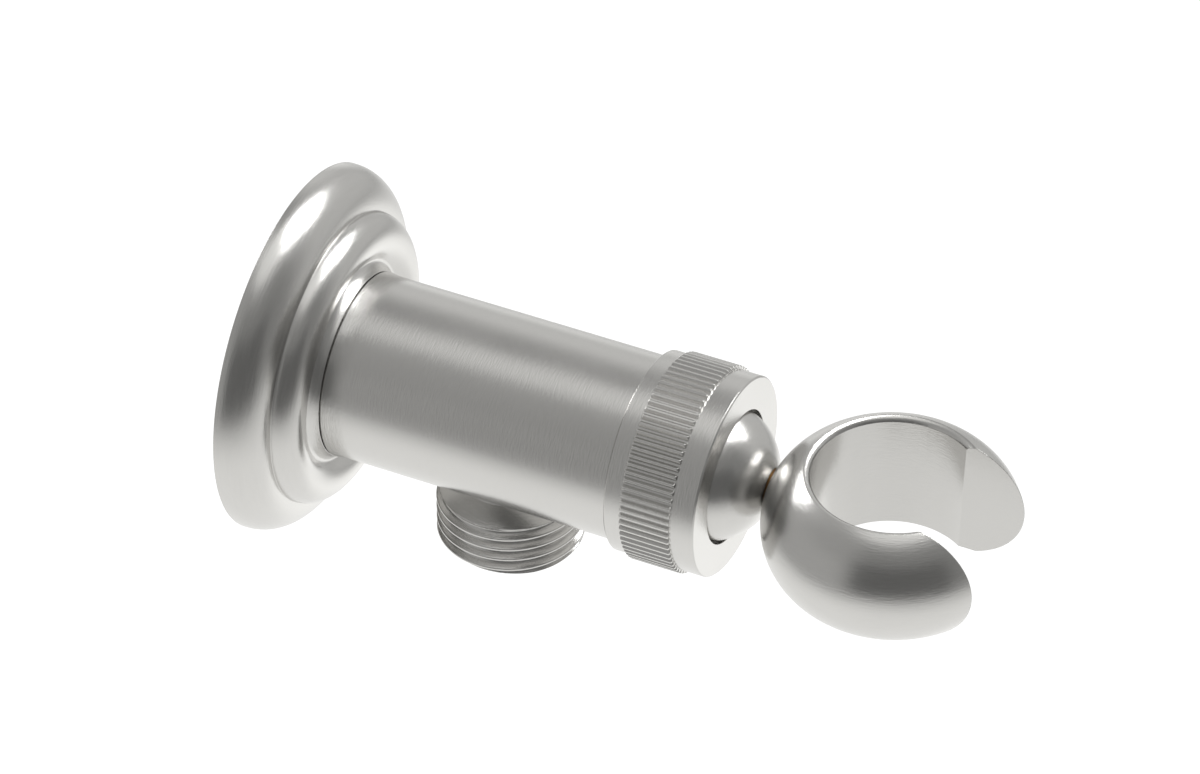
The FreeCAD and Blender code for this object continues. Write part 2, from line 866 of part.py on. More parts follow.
# Cradle: a ring of rounded section with a tapered bore, slotted in front, with a blind bore
# behind for the stud of the ball.
cradle_edge = (cradle_base_radius, 0)
cradle_rim = (cradle_rim_radius, size.cradle_height)
cradle_mouth = (cradle_mouth_radius, size.cradle_height - size.top_rim_slope)
cradle_chord = chord_between(cradle_edge, cradle_rim)
rim_chord = chord_between(cradle_rim, cradle_mouth)
cradle = turned_outline(
    "cradle",
    UPRIGHT,
    [
        (size.cradle_bore_radius, 0),
        cradle_edge,
        cradle_rim,
        cradle_mouth,
    ],
    {
        1: (arc_radius(cradle_chord, size.cradle_bulge), "left"),
        2: (arc_radius(rim_chord, size.top_rim_bulge), "left"),
    },
    forward=cradle_centre,
    height=-size.cradle_drop,
)
slot_reach = cradle_outer_radius + size.slot_overrun
sketch = new_sketch(cradle, "XY_Plane", "slot_outline")
draw_outline(
    sketch,
    [
        (-size.slot_width / 2, -slot_reach),
        (size.slot_width / 2, -slot_reach),
        (size.slot_width / 2, 0),
        (-size.slot_width / 2, 0),
    ],
)
cut(cradle, "slot", sketch)
stud_bore_depth = stud_height - flat_height - size.washer_thickness - size.sliding_fit
sketch = new_sketch(cradle, "XZ_Plane", "spot_face_circle", -spot_face)
draw_circle(sketch, (0, size.cradle_drop), size.spot_face_radius)
cut(cradle, "spot_face", sketch, along_normal=False)
sketch = new_sketch(cradle, "XZ_Plane", "stud_bore_circle", -spot_face)
draw_circle(sketch, (0, size.cradle_drop), size.stud_radius + size.turning_fit)
cut(cradle, "stud_bore", sketch, stud_bore_depth + size.loose_fit)
groove_middle = cradle_centre - ring_centre
groove_half = size.cradle_groove_width / 2
cradle_groove_radius = size.stud_radius + size.turning_fit + size.ring_room
sketch = new_sketch(cradle, "XY_Plane", "ring_groove_outline", size.cradle_drop)
draw_outline(
    sketch,
    [
        (size.stud_radius, groove_middle - groove_half),
        (cradle_groove_radius, groove_middle - groove_half),
        (cradle_groove_radius, groove_middle + groove_half),
        (size.stud_radius, groove_middle + groove_half),
    ],
)
groove = cradle.newObject("PartDesign::Groove", "ring_groove")
groove.Profile = sketch
groove.ReferenceAxis = (sketch, ["V_Axis"])
groove.Angle = 360
sketch.Visibility = False

doc.recompute()
for item in doc.Objects:
    if "Invalid" in item.State or "Error" in item.State:
        raise SystemExit(f"{item.Name} did not build: {item.State}")
os.makedirs("parts", exist_ok=True)
for body in bodies:
    if body.Shape.isNull() or not body.Shape.isValid():
        raise SystemExit(f"{body.Label} has no valid shape")
    body.Shape.exportStep(f"parts/{body.Label}.step")
    print(body.Label, round(body.Shape.Volume, 2), len(body.Shape.Solids))
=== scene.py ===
import math

import bmesh
import bpy
from mathutils import Euler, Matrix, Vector


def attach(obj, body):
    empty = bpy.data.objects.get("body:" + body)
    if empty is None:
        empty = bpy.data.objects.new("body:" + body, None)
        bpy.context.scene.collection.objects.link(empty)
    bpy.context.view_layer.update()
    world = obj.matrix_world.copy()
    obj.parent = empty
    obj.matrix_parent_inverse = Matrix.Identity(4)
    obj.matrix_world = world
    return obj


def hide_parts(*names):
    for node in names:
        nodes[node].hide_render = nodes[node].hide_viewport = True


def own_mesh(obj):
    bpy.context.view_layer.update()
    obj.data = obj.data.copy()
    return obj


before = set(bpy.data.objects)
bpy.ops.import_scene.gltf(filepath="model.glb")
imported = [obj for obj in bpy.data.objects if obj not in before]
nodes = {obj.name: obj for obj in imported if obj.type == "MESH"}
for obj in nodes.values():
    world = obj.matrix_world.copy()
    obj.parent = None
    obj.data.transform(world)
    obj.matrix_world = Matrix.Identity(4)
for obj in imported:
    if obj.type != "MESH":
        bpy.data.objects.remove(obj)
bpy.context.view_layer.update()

# A hand shower holder in satin nickel: wall flange, body with a threaded hose outlet, ball
# joint with a knurled nut, and an open cradle. Metres; the body lies along -Y, Z is up.

MM = 0.001
BODY_AXIS = (0.0, 1.0, 0.0)
UPRIGHT = (0.0, 0.0, 1.0)
BODY_CENTRE = (0.0, 0.0, 0.0)
OUTLET_CENTRE = (0.0, -32.26 * MM, 0.0)
CRADLE_CENTRE = (0.0, -89.1 * MM, 0.0)


# ---------------------------------------------------------------- node helpers

NUMBER = "NodeSocketFloat"
VECTOR = "NodeSocketVector"
COLOUR = "NodeSocketColor"

# The colour sockets of a Mix node, which shares its names with those for numbers and vectors.
MIX_MASK, MIX_FIRST, MIX_SECOND, MIX_RESULT = 0, 6, 7, 2


class Wiring:
    """Short ways to add and join the nodes of one node tree."""

    def __init__(self, tree):
        self.tree = tree

    def add(self, kind, **settings):
        node = self.tree.nodes.new(kind)
        for name, value in settings.items():
            setattr(node, name, value)
        return node

    def join(self, source, socket):
        """Links an output to a socket, or sets the socket to a constant."""
        if isinstance(source, (int, float, tuple)):
            socket.default_value = source
        else:
            self.tree.links.new(source, socket)

    def maths(self, operation, *values):
        node = self.add("ShaderNodeMath", operation=operation)
        for value, socket in zip(values, node.inputs):
            self.join(value, socket)
        return node.outputs[0]

    def vectors(self, operation, *values):
        node = self.add("ShaderNodeVectorMath", operation=operation)
        for value, socket in zip(values, node.inputs):
            self.join(value, socket)
        gives_number = operation in ("DOT_PRODUCT", "LENGTH")
        return node.outputs["Value" if gives_number else "Vector"]

    def scaled(self, vector, factor):
        """A vector or a colour times a number."""
        node = self.add("ShaderNodeVectorMath", operation="SCALE")
        self.join(vector[:3] if isinstance(vector, tuple) else vector, node.inputs[0])
        self.join(factor, node.inputs["Scale"])
        return node.outputs["Vector"]

    def between(self, value, low, high, to_low=0.0, to_high=1.0, smooth=True):
        """A value that lies from low to high, spread from to_low to to_high."""
        node = self.add("ShaderNodeMapRange")
        if smooth:
            node.interpolation_type = "SMOOTHSTEP"
        for name, number in (("Value", value), ("From Min", low), ("From Max", high),
                             ("To Min", to_low), ("To Max", to_high)):
            self.join(number, node.inputs[name])
        return node.outputs["Result"]

    def noise(self, place, scale, detail=2.0):
        node = self.add("ShaderNodeTexNoise")
        self.join(place, node.inputs["Vector"])
        self.join(scale, node.inputs["Scale"])
        self.join(detail, node.inputs["Detail"])
        return node.outputs["Fac"]

    def blend(self, mask, first, second):
        """The first colour where the mask is 0 and the second where it is 1."""
        node = self.add("ShaderNodeMix", data_type="RGBA")
        self.join(mask, node.inputs[MIX_MASK])
        self.join(first, node.inputs[MIX_FIRST])
        self.join(second, node.inputs[MIX_SECOND])
        return node.outputs[MIX_RESULT]

    def either(self, mask, first, second):
        """The first shader where the mask is 0 and the second where it is 1."""
        node = self.add("ShaderNodeMixShader")
        for value, socket in zip((mask, first, second), node.inputs):
            self.join(value, socket)
        return node.outputs[0]


def new_group(name, inputs, outputs):
    """A shader node group with named sockets. Inputs are (name, kind, start value)."""
    group = bpy.data.node_groups.new(name, "ShaderNodeTree")
    for label, kind, start in inputs:
        socket = group.interface.new_socket(label, in_out="INPUT", socket_type=kind)
        socket.default_value = start
    for label, kind in outputs:
        group.interface.new_socket(label, in_out="OUTPUT", socket_type=kind)
    wiring = Wiring(group)
    return wiring, wiring.add("NodeGroupInput").outputs, wiring.add("NodeGroupOutput").inputs


def use_group(wiring, group, **values):
    node = wiring.add("ShaderNodeGroup", node_tree=group)
    for label, value in values.items():
        wiring.join(value, node.inputs[label])
    return node


# ---------------------------------------------------------------- shared effects

# Most values of a noise texture lie between these two.
NOISE_RANGE = (0.3, 0.7)
# The likeness of the eased and the flat normal where the edges' polish and painted highlight
# start and where they are full.
POLISH_AND_HIGHLIGHT_RANGE = (0.995, 0.85)
# The scale of the slow change of shade in moulded parts, in waves a metre.
CLOUD_SCALE = 160.0


def make_lathe_grain():
    """Fine rings left by turning and brushing round an axis, broken into short streaks."""
    wiring, given, result = new_group(
        "lathe_grain",
        [("Centre", VECTOR, (0, 0, 0)), ("Axis", VECTOR, (0, 1, 0)),
         ("Rings", NUMBER, 9000.0), ("Streaks", NUMBER, 9.0)],
        [("Height", NUMBER), ("Shade", NUMBER)],
    )
    place = wiring.add("ShaderNodeTexCoord").outputs["Object"]
    arm = wiring.vectors("SUBTRACT", place, given["Centre"])
    height = wiring.vectors("DOT_PRODUCT", arm, given["Axis"])
    radial = wiring.vectors("SUBTRACT", arm, wiring.scaled(given["Axis"], height))
    radius = wiring.vectors("LENGTH", radial)
    around = wiring.scaled(wiring.vectors("NORMALIZE", radial), given["Streaks"])
    along = wiring.scaled(given["Axis"], wiring.maths("MULTIPLY", height, given["Rings"]))
    grain = wiring.add("ShaderNodeTexNoise", noise_dimensions="4D")
    wiring.join(wiring.vectors("ADD", around, along), grain.inputs["Vector"])
    wiring.join(wiring.maths("MULTIPLY", radius, given["Rings"]), grain.inputs["W"])
    grain.inputs["Scale"].default_value = 1.0
    grain.inputs["Detail"].default_value = 3.0
    grain.inputs["Roughness"].default_value = 0.62
    wiring.join(grain.outputs["Fac"], result["Height"])
    wiring.join(wiring.between(grain.outputs["Fac"], *NOISE_RANGE), result["Shade"])
    return wiring.tree


def make_soft_patches():
    """Slow, faint changes over a surface, as from plating, wiping and handling."""
    wiring, given, result = new_group(
        "soft_patches",
        [("Size", NUMBER, 0.01), ("Lowest", NUMBER, 0.9), ("Highest", NUMBER, 1.1)],
        [("Value", NUMBER)],
    )
    place = wiring.add("ShaderNodeTexCoord").outputs["Object"]
    cloud = wiring.noise(place, wiring.maths("DIVIDE", 1.0, given["Size"]), detail=4.0)
    value = wiring.between(cloud, *NOISE_RANGE, given["Lowest"], given["Highest"])
    wiring.join(value, result["Value"])
    return wiring.tree


def make_edge_polish_and_highlight():
    """Eased edges: a mask of the given strength on them, for polish and a painted highlight,
    and the normal of the rounding.
    """
    wiring, given, result = new_group(
        "edge_polish_and_highlight",
        [("Width", NUMBER, 0.0003), ("Strength", NUMBER, 1.0)],
        [("Mask", NUMBER), ("Normal", VECTOR)],
    )
    rounded = wiring.add("ShaderNodeBevel", samples=6)
    wiring.join(given["Width"], rounded.inputs["Radius"])
    flat = wiring.add("ShaderNodeNewGeometry").outputs["Normal"]
    likeness = wiring.vectors("DOT_PRODUCT", rounded.outputs["Normal"], flat)
    mask = wiring.between(likeness, *POLISH_AND_HIGHLIGHT_RANGE)
    wiring.join(wiring.maths("MULTIPLY", mask, given["Strength"]), result["Mask"])
    wiring.join(rounded.outputs["Normal"], result["Normal"])
    return wiring.tree


def make_moulded_skin():
    """The fine even texture of moulded plastic and rubber, with a faint change of shade."""
    wiring, given, result = new_group(
        "moulded_skin",
        [("Grain", NUMBER, 0.0002), ("Shade", COLOUR, (0.5, 0.5, 0.5, 1)),
         ("Contrast", NUMBER, 0.1)],
        [("Height", NUMBER), ("Color", COLOUR)],
    )
    place = wiring.add("ShaderNodeTexCoord").outputs["Object"]
    speckle = wiring.noise(place, wiring.maths("DIVIDE", 1.0, given["Grain"]))
    wiring.join(speckle, result["Height"])
    darker = wiring.maths("SUBTRACT", 1.0, given["Contrast"])
    lighter = wiring.maths("ADD", 1.0, given["Contrast"])
    cloud = wiring.noise(place, CLOUD_SCALE)
    level = wiring.between(cloud, *NOISE_RANGE, darker, lighter)
    wiring.join(wiring.scaled(given["Shade"], level), result["Color"])
    return wiring.tree


lathe_grain = make_lathe_grain()
soft_patches = make_soft_patches()
edge_polish_and_highlight = make_edge_polish_and_highlight()
moulded_skin = make_moulded_skin()


# ---------------------------------------------------------------- materials

NICKEL_SATIN = (0.640, 0.632, 0.616, 1.0)
# A lighter colour on the edges: a painted highlight along them.
NICKEL_EDGE_HIGHLIGHT = (0.760, 0.752, 0.735, 1.0)
NICKEL_ROUGHNESS = 0.22
# The scale of the rings in waves a metre, the strength of their relief and its depth.
NICKEL_RINGS = 5200.0
NICKEL_GRAIN = 0.35
NICKEL_RELIEF = 0.05 * MM
DRAWN_RINGS = 14000.0
DRAWN_GRAIN = 0.12
FINE_RELIEF = 0.02 * MM
EDGE_ROUNDING = 0.12 * MM
EDGE_STRENGTH = 0.5
EDGE_ROUGHNESS = -0.05
# What the rings' shade adds to the level of the colour, and the level without it.
NICKEL_SHADE = (0.03, 0.985)
DRAWN_SHADE = (0.12, 0.92)
# What the rings' shade adds to the roughness.
NICKEL_RING_ROUGHNESS = 0.03
DRAWN_RING_ROUGHNESS = 0.08


def start_material(name):
    """A new material with the wiring of its nodes and its shader."""
    material = bpy.data.materials.new(name)
    material.use_nodes = True
    wiring = Wiring(material.node_tree)
    return material, wiring, material.node_tree.nodes["Principled BSDF"]


def bump(wiring, height, strength, distance, under=None):
    """The normal of a relief, laid over the normal `under` where there is one."""
    node = wiring.add("ShaderNodeBump")
    wiring.join(height, node.inputs["Height"])
    if under is not None:
        wiring.join(under, node.inputs["Normal"])
    node.inputs["Strength"].default_value = strength
    node.inputs["Distance"].default_value = distance
    return node.outputs["Normal"]


def satin_nickel(name, axis, centre):
    """Satin nickel plate brushed round an axis, with polished edges that also carry a painted
    highlight in a lighter colour.
    """
    material, wiring, shader = start_material(name)
    rings = use_group(wiring, lathe_grain, Centre=centre, Axis=axis, Rings=NICKEL_RINGS)
    patches = use_group(wiring, soft_patches, Size=0.012, Lowest=0.94, Highest=1.06)
    polish_and_highlight = use_group(wiring, edge_polish_and_highlight, Width=EDGE_ROUNDING, Strength=EDGE_STRENGTH)
    ring_shade, polish_and_highlight_mask = rings.outputs["Shade"], polish_and_highlight.outputs["Mask"]
    # The edges' lighter colour is a painted highlight; their lower roughness is polish.
    tone = wiring.blend(polish_and_highlight_mask, NICKEL_SATIN, NICKEL_EDGE_HIGHLIGHT)
    shade = wiring.maths("MULTIPLY_ADD", ring_shade, *NICKEL_SHADE)
    wiring.join(wiring.scaled(tone, shade), shader.inputs["Base Color"])
    rough = wiring.maths("MULTIPLY", patches.outputs["Value"], NICKEL_ROUGHNESS)
    rough = wiring.maths("MULTIPLY_ADD", ring_shade, NICKEL_RING_ROUGHNESS, rough)
    rough = wiring.maths("MULTIPLY_ADD", polish_and_highlight_mask, EDGE_ROUGHNESS, rough)
    wiring.join(rough, shader.inputs["Roughness"])
    relief = bump(wiring, rings.outputs["Height"], NICKEL_GRAIN, NICKEL_RELIEF,
                  under=polish_and_highlight.outputs["Normal"])
    wiring.join(relief, shader.inputs["Normal"])
    shader.inputs["Metallic"].default_value = 1.0
    return material


def moulded(name, colour, roughness, grain=0.0002, relief=0.15):
    """Moulded plastic or rubber."""
    material, wiring, shader = start_material(name)
    skin = use_group(wiring, moulded_skin, Grain=grain, Shade=colour, Contrast=0.06)
    patches = use_group(wiring, soft_patches, Size=0.004, Lowest=0.9, Highest=1.1)
    wiring.join(skin.outputs["Color"], shader.inputs["Base Color"])
    rough = wiring.maths("MULTIPLY", patches.outputs["Value"], roughness)
    wiring.join(rough, shader.inputs["Roughness"])
    surface = bump(wiring, skin.outputs["Height"], relief, FINE_RELIEF)
    wiring.join(surface, shader.inputs["Normal"])
    return material


def drawn_metal(name, colour, roughness, axis, centre):
    """Bare spring steel or sheet brass with fine lines."""
    material, wiring, shader = start_material(name)
    lines = use_group(wiring, lathe_grain, Centre=centre, Axis=axis, Rings=DRAWN_RINGS)
    line_shade = lines.outputs["Shade"]
    shade = wiring.maths("MULTIPLY_ADD", line_shade, *DRAWN_SHADE)
    wiring.join(wiring.scaled(colour, shade), shader.inputs["Base Color"])
    rough = wiring.maths("MULTIPLY_ADD", line_shade, DRAWN_RING_ROUGHNESS, roughness)
    wiring.join(rough, shader.inputs["Roughness"])
    relief = bump(wiring, lines.outputs["Height"], DRAWN_GRAIN, FINE_RELIEF)
    wiring.join(relief, shader.inputs["Normal"])
    shader.inputs["Metallic"].default_value = 1.0
    return material


def dress(material, *names):
    """Gives CAD nodes a material in every slot."""
    for name in names:
        mesh = nodes[name].data
        if not mesh.materials:
            mesh.materials.append(material)
        for slot in nodes[name].material_slots:
            slot.material = material


dress(satin_nickel("nickel_flange", BODY_AXIS, BODY_CENTRE), "wall_flange")
dress(satin_nickel("nickel_body", BODY_AXIS, BODY_CENTRE), "holder_body")
dress(satin_nickel("nickel_nut", BODY_AXIS, BODY_CENTRE), "knurled_nut")
dress(satin_nickel("nickel_ball", BODY_AXIS, BODY_CENTRE), "swivel_ball")
dress(satin_nickel("nickel_cradle", UPRIGHT, CRADLE_CENTRE), "cradle")
dress(satin_nickel("nickel_outlet", UPRIGHT, OUTLET_CENTRE), "outlet_nipple")
dress(moulded("seal_rubber", colour=(0.030, 0.030, 0.031, 1), roughness=0.55),
      "flange_o_ring", "nipple_o_ring", "valve_o_ring", "valve_seal")
dress(moulded("foam_rubber", colour=(0.74, 0.74, 0.71, 1), roughness=0.85,
              grain=0.0005, relief=0.5),
      "wall_gasket")
dress(moulded("white_acetal", colour=(0.82, 0.82, 0.79, 1), roughness=0.38),
      "rear_ball_seat", "front_ball_seat", "valve_guide", "valve_poppet")
dress(moulded("blue_valve_plastic", colour=(0.035, 0.16, 0.45, 1), roughness=0.35),
      "valve_housing")
dress(drawn_metal("spring_steel", colour=(0.56, 0.56, 0.55, 1), roughness=0.25,
                  axis=BODY_AXIS, centre=BODY_CENTRE),
      "rear_disc_spring", "front_disc_spring", "stud_snap_ring")
dress(drawn_metal("spring_wire", colour=(0.60, 0.60, 0.59, 1), roughness=0.25,
                  axis=UPRIGHT, centre=OUTLET_CENTRE),
      "valve_spring")
dress(drawn_metal("washer_brass", colour=(0.14, 0.078, 0.034, 1), roughness=0.45,
                  axis=BODY_AXIS, centre=BODY_CENTRE),
      "friction_washer")


# ---------------------------------------------------------------- pieces made here

# Points closer than this are one point, split where the CAD mesh has a sharp edge.
WELD = 0.002 * MM
# How far off a place on a CAD mesh may be from where it is looked for.
SLACK = 0.02 * MM


def add_object(name, data):
    added = bpy.data.objects.new(name, data)
    bpy.context.scene.collection.objects.link(added)
    return added


def add_piece(title, mesh, node):
    """Adds a piece that stands for a CAD node, in the node's material."""
    material = nodes[node].material_slots[0].material
    if not mesh.materials:
        mesh.materials.append(material)
    for index in range(len(mesh.materials)):
        mesh.materials[index] = material
    return add_object(title, mesh)


def welded_copy(title, node):
    """A copy of a CAD node's mesh, and its shape to edit with the split points joined."""
    mesh = nodes[node].data.copy()
    mesh.name = title
    shape = bmesh.new()
    shape.from_mesh(mesh)
    bmesh.ops.remove_doubles(shape, verts=shape.verts, dist=WELD)
    return mesh, shape


def write_mesh(shape, mesh, sharp):
    """Writes a closed shape to a mesh, hard only where faces turn by the angle or more."""
    bmesh.ops.recalc_face_normals(shape, faces=shape.faces)
    for face in shape.faces:
        face.smooth = True
        face.material_index = 0
    for edge in shape.edges:
        edge.smooth = not edge.is_manifold or edge.calc_face_angle() < sharp
    shape.to_mesh(mesh)
    shape.free()


# ---------------------------------------------------------------- screw threads

# The profile of both pipe threads: 14 turns an inch, with 55 degrees between the flanks.
# The slope is how far a flank sinks for its way along the axis.
THREAD_PITCH = 1.814 * MM
FLANK_ANGLE = math.radians(27.5)
FLANK_SLOPE = 1.0 / math.tan(FLANK_ANGLE)
CREST_FLAT = 0.12 * MM
CREST_ROUND = 0.14 * MM
ROOT_ROUND = 0.45 * MM
# Points round a thread, steps in each rounding and in each flank, and the least hard edge.
THREAD_COLUMNS = 160
ROUND_STEPS = 4
FLANK_STEPS = 3
THREAD_SHARP = math.radians(28)


def thread_outline():
    """Half a pitch of the thread from crest to root, as (along, depth) from the crest."""
    turn = math.pi / 2 - FLANK_ANGLE
    angles = [turn * step / ROUND_STEPS for step in range(ROUND_STEPS + 1)]
    crest = [(CREST_FLAT / 2 + CREST_ROUND * math.sin(angle),
              CREST_ROUND * (1 - math.cos(angle))) for angle in angles]
    root = [(THREAD_PITCH / 2 - ROOT_ROUND * math.sin(angle),
             ROOT_ROUND * (math.cos(angle) - 1)) for angle in angles[::-1]]
    (along, depth), (far_along, rise) = crest[-1], root[0]
    far_depth = depth + (far_along - along) * FLANK_SLOPE
    root = [(place, far_depth + lift - rise) for place, lift in root]
    flank = []
    for step in range(1, FLANK_STEPS):
        share = step / FLANK_STEPS
        flank.append((along + share * (far_along - along),
                      depth + share * (far_depth - depth)))
    return [(0.0, 0.0)] + crest + flank + root


HALF_THREAD = thread_outline()
THREAD_DEPTH = HALF_THREAD[-1][1]


def thread_rows():
    """The places along one pitch, from the middle of a crest, with the depth at each."""
    back = [(THREAD_PITCH - along, depth) for along, depth in HALF_THREAD[-2:0:-1]]
    return HALF_THREAD + back


def thread_depth(along):
    """The depth under the crests at a distance from the middle of one."""
    along %= THREAD_PITCH
    along = min(along, THREAD_PITCH - along)
    for (low, depth), (high, other) in zip(HALF_THREAD, HALF_THREAD[1:]):
        if along <= high:
            return depth + (other - depth) * (along - low) / (high - low)
    return THREAD_DEPTH


def cut_screw_thread(shape, point, near, far, start, phase, radius, trim, inward=False):
    """Adds the wall of a right-hand screw thread to a mesh and returns its two end rings.

    point(radius, angle, along) is a place in the row frame; the angle turns the way that
    screws towards the near end. A crest of that radius passes `start` at the angle `phase`.
    The wall lies under its crests, outwards where `inward` is set, and trim(radius, along)
    gives the radius that is left near the ends.
    """
    rows = thread_rows()
    first = math.floor((near - start) / THREAD_PITCH) - 1
    last = math.ceil((far - start) / THREAD_PITCH) + 2
    along_rows = [(start + turn * THREAD_PITCH + place, depth)
                  for turn in range(first, last + 1) for place, depth in rows]
    sign = 1.0 if inward else -1.0

    def wall_point(angle, along, depth):
        return shape.verts.new(point(trim(radius + sign * depth, along), angle, along))

    columns, near_ring, far_ring = [], [], []
    for column in range(THREAD_COLUMNS):
        turned = column / THREAD_COLUMNS - 0.5
        angle = phase + 2 * math.pi * turned
        shift = -THREAD_PITCH * turned
        crest = start + shift
        near_ring.append(wall_point(angle, near, thread_depth(near - crest)))
        far_ring.append(wall_point(angle, far, thread_depth(far - crest)))
        line = []
        for along, depth in along_rows:
            along += shift
            if along <= near:
                line.append(near_ring[-1])
            elif along >= far:
                line.append(far_ring[-1])
            else:
                line.append(wall_point(angle, along, depth))
        columns.append(line)

    for column, line in enumerate(columns):
        beside = columns[(column + 1) % THREAD_COLUMNS]
        if column == THREAD_COLUMNS - 1:
            # The rows sink by one pitch in a turn, so here they meet those one pitch before.
            beside = [near_ring[0]] * len(rows) + beside[:-len(rows)]
        for row in range(len(line) - 1):
            corners = []
            for corner in (line[row], line[row + 1], beside[row + 1], beside[row]):
                if corner not in corners:
                    corners.append(corner)
            if len(corners) > 2:
                shape.faces.new(corners)
    return near_ring, far_ring


def radius_and_height(place, centre, axis):
    """A place as its distance from an axis and its distance along it."""
    arm = place - Vector(centre)
    height = arm.dot(Vector(axis))
    return (arm - Vector(axis) * height).length, height


def rim_points(shape, centre, axis, radius, height):
    """The points of a mesh that lie on a circle round the axis and end an open edge."""
    found = set()
    for edge in shape.edges:
        if not edge.is_boundary:
            continue
        for vertex in edge.verts:
            away, level = radius_and_height(vertex.co, centre, axis)
            if abs(level - height) < SLACK and abs(away - radius) < SLACK:
                found.add(vertex)
    return list(found)


def stitch_rings(shape, centre, axis, one, other):
    """Joins two closed rings of points round the same axis with a band of triangles."""
    side = Vector(axis).orthogonal().normalized()
    up = Vector(axis).cross(side)

    def turned(vertex):
        arm = vertex.co - Vector(centre)
        return math.atan2(arm.dot(up), arm.dot(side))

    def place(ring, index):
        return turned(ring[index % len(ring)]) + (2 * math.pi if index >= len(ring) else 0.0)

    one, other = sorted(one, key=turned), sorted(other, key=turned)
    first, second = 0, 0
    while first < len(one) or second < len(other):
        corners = [one[first % len(one)], other[second % len(other)]]
        ahead = place(one, first + 1) <= place(other, second + 1)
        if second >= len(other) or (first < len(one) and ahead):
            first += 1
            corners.append(one[first % len(one)])
        else:
            second += 1
            corners.append(other[second % len(other)])
        shape.faces.new(corners)


def threaded_piece(title, node, centre, axis, drop, walls, rims, reshape=None):
    """A copy of a CAD node with a screw thread in place of a smooth wall.

    drop is true for the faces that go, given the (radius, height) of their corners; rims are
    the circles (radius, height) that the two ends of the thread are joined to. Heights are
    along the axis. reshape changes the copy before that.
    """
    mesh, shape = welded_copy(title, node)
    if reshape:
        reshape(shape)
    going = [face for face in shape.faces
             if drop([radius_and_height(vertex.co, centre, axis) for vertex in face.verts])]
    bmesh.ops.delete(shape, geom=going, context="FACES")
    open_rims = [rim_points(shape, centre, axis, *rim) for rim in rims]
    thread_ends = cut_screw_thread(shape, **walls)
    for rim, ring in zip(open_rims, thread_ends):
        stitch_rings(shape, centre, axis, rim, ring)
    write_mesh(shape, mesh, THREAD_SHARP)
    piece = add_piece(title, mesh, node)
    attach(piece, "holder")
    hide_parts(node)


# The hose thread, from the sloping shoulder down to the end of the outlet. Its places run
# downwards from the body's axis; the (radius, height) of a rim runs upwards.
OUTLET_RADIUS = 10.4775 * MM
SHOULDER_TOP = (7.2 * MM, -11.508 * MM)
SHOULDER_SLOPE = 1.732
RIDGE = 13.20 * MM
OUTLET_END = 21.60 * MM
OUTLET_BORE = 7.55 * MM
BORE_RIM = (OUTLET_BORE, -21.27 * MM)
OUTLET_CREST = 14.87 * MM
OUTLET_PHASE = math.radians(204.0)
RELIEF_WIDTH = 0.55 * MM
END_CHAMFER = 0.55 * MM


def outlet_trim(radius, along):
    """A level ridge with a relief groove under it, and a chamfer at the far end."""
    ridge = SHOULDER_TOP[0] + SHOULDER_SLOPE * (RIDGE + SHOULDER_TOP[1])
    floor = OUTLET_RADIUS - THREAD_DEPTH
    upper = ridge - FLANK_SLOPE * (along - RIDGE)
    lower = floor + FLANK_SLOPE * max(along - RIDGE - RELIEF_WIDTH, 0.0)
    chamfer = OUTLET_RADIUS - END_CHAMFER + (OUTLET_END - along)
    return min(max(radius, upper), max(upper, lower), chamfer)


def outlet_point(radius, angle, along):
    return (radius * math.cos(angle), OUTLET_CENTRE[1] + radius * math.sin(angle), -along)


def outlet_wall(corners):
    """True for the faces that reach further out than the bore."""
    return max(radius for radius, height in corners) > OUTLET_BORE + SLACK


threaded_piece(
    "threaded_outlet", "outlet_nipple", OUTLET_CENTRE, UPRIGHT,
    drop=outlet_wall,
    walls=dict(point=outlet_point, near=RIDGE, far=OUTLET_END, start=OUTLET_CREST,
               phase=OUTLET_PHASE, radius=OUTLET_RADIUS, trim=outlet_trim),
    rims=(SHOULDER_TOP, BORE_RIM),
)


# The pipe thread in the water inlet, from a countersunk mouth to its run-out.
INLET_RADIUS = 9.316 * MM
INLET_MOUTH = 10.3 * MM
INLET_DEPTH = 14.0 * MM
INLET_THREAD_END = 13.9 * MM
INLET_CREST = 1.0 * MM
RUN_OUT_SLOPE = 1.2
SPIGOT_RADIUS = 12.1 * MM


def inlet_trim(radius, along):
    """A countersink at the mouth, and the grooves fading out at the far end."""
    run_out = INLET_RADIUS + RUN_OUT_SLOPE * (INLET_THREAD_END - along)
    return min(max(radius, INLET_MOUTH - along), run_out)


def inlet_point(radius, angle, along):
    return (radius * math.sin(angle), -along, radius * math.cos(angle))


def inlet_wall(corners):
    """True for the bore's wall and for the ring round its mouth."""
    heights = [height for radius, height in corners]
    on_bore = all(abs(radius - INLET_RADIUS) < SLACK for radius, height in corners)
    return min(heights) > -SLACK or (on_bore and max(heights) > SLACK - INLET_DEPTH)


# The body's flare next to the flange: it rises to the seam, and ends sooner than in the CAD.
BODY_RADIUS = 13.07 * MM
BODY_REAR = 9.7 * MM
CAD_FLARE_END = 13.6 * MM
FLARE_RISE = 0.21 * MM
FLARE_LENGTH = 2.4 * MM
FLARE_CUTS = 12


